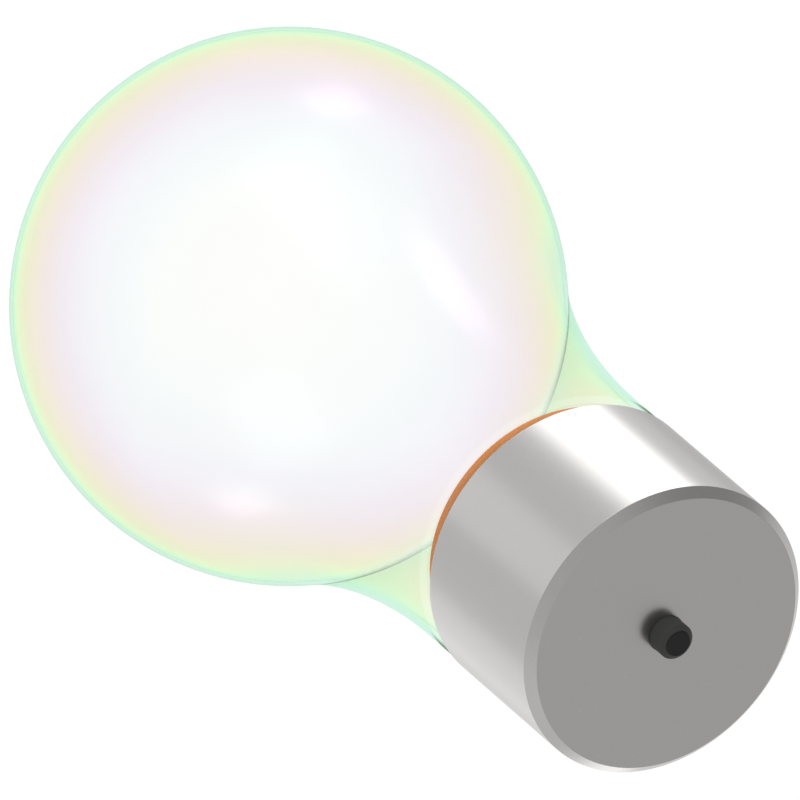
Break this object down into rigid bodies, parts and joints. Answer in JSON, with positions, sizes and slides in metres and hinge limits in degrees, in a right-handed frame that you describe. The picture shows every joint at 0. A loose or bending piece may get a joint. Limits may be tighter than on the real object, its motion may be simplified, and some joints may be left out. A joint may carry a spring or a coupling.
{
  "type": "light bulb",
  "caption": "Light bulb: clear iridescent glass globe with a flared neck on a plain cylindrical metal cap, a black centre contact, and an orange light-source carrier in the neck.",
  "frame": {"origin": "centre of the cap's rim, the open end of its plain barrel, where the glass neck is seated", "axes": "+Z along the bulb's axis, out of the cap through the centre contact; the globe hangs along -Z"},
  "size_m": [0.06, 0.06, 0.1126],
  "materials": {
    "clear_glass": "clear, with a thin iridescent coat",
    "clear_bond": "clear silicone",
    "satin_metal": "satin turned",
    "black_contact": "matt black",
    "orange_moulding": "smooth moulded",
    "white_moulding": "moulded",
    "white_board": "white solder mask on metal",
    "led_white": "moulded",
    "led_yellow": "phosphor filling",
    "zinc_steel": "zinc plated",
    "tinned_metal": "tinned",
    "green_board": "solder mask",
    "sleeve_blue": "printed sleeve left plain",
    "ferrite": "sintered",
    "copper_wire": "enamelled winding",
    "black_moulding": "moulded",
    "fuse_coat": "dipped coat"
  },
  "bodies": {
    "root": {"glass_envelope": "clear_glass", "bond_ring": "clear_bond", "cap_shell": "satin_metal", "contact_pin": "black_contact", "insulating_liner": "white_moulding", "led_carrier": "orange_moulding", "led_board": "white_board", "led_housings": "led_white", "led_phosphors": "led_yellow", "board_screws": "zinc_steel", "plug_socket": "led_white", "plug_pins": "tinned_metal", "driver_board": "green_board", "smoothing_capacitor": "sleeve_blue", "choke_core": "ferrite", "choke_winding": "copper_wire", "bridge_rectifier": "black_moulding", "driver_chip": "black_moulding", "fuse_resistor": "fuse_coat", "contact_lead": "tinned_metal", "shell_lead": "tinned_metal"}
  },
  "joints": []
}
